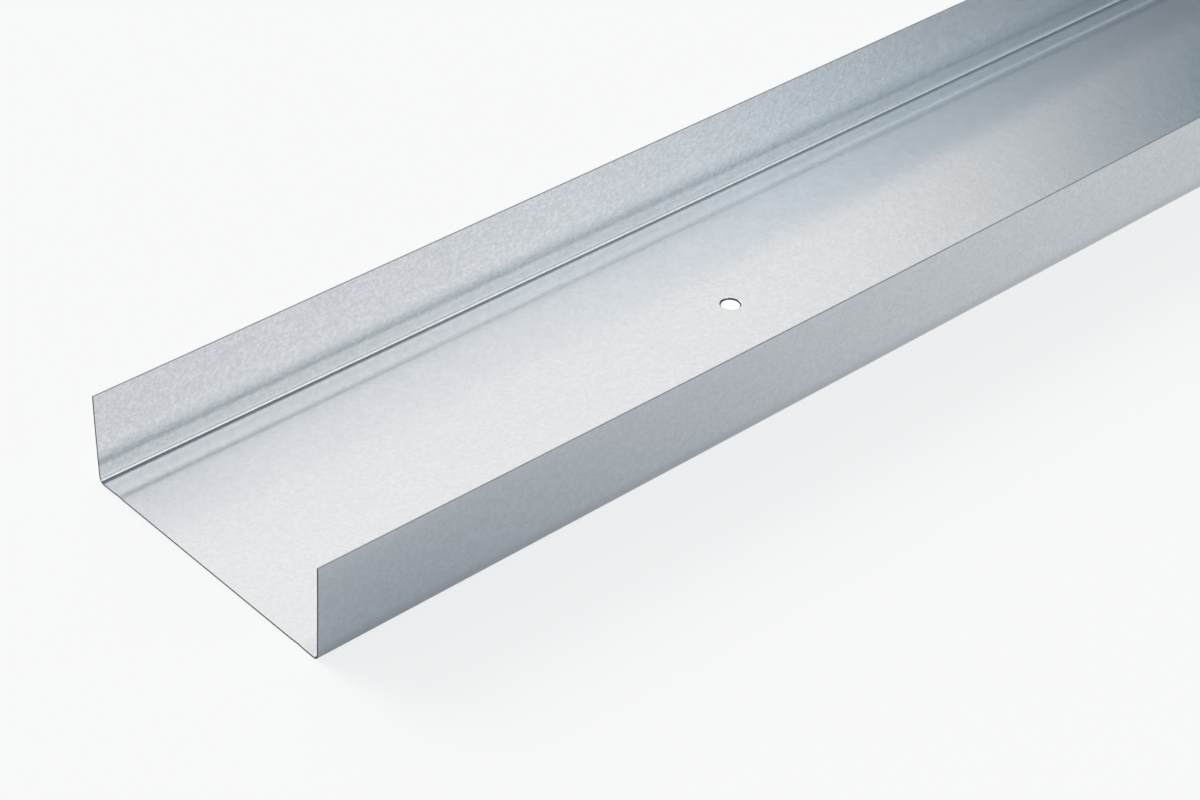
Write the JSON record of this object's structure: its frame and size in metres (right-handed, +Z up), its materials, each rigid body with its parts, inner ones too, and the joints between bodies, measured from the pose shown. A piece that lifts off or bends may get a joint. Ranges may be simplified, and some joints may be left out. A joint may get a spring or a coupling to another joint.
{
  "type": "drywall track",
  "caption": "Shallow U-shaped channel of galvanised sheet steel, fixed through its web to a floor or ceiling, that takes the ends of wall studs between its flanges.",
  "frame": {"origin": "middle of the web's underside, on the floor that the track lies on", "axes": "+X along the track, +Y across its web, +Z up along its flanges"},
  "size_m": [3.048, 0.103, 0.0318],
  "materials": {
    "galvanised_sheet": "hot-dip galvanised, fine spangle, satin"
  },
  "bodies": {
    "root": {"drywall_track": "galvanised_sheet"}
  },
  "joints": []
}
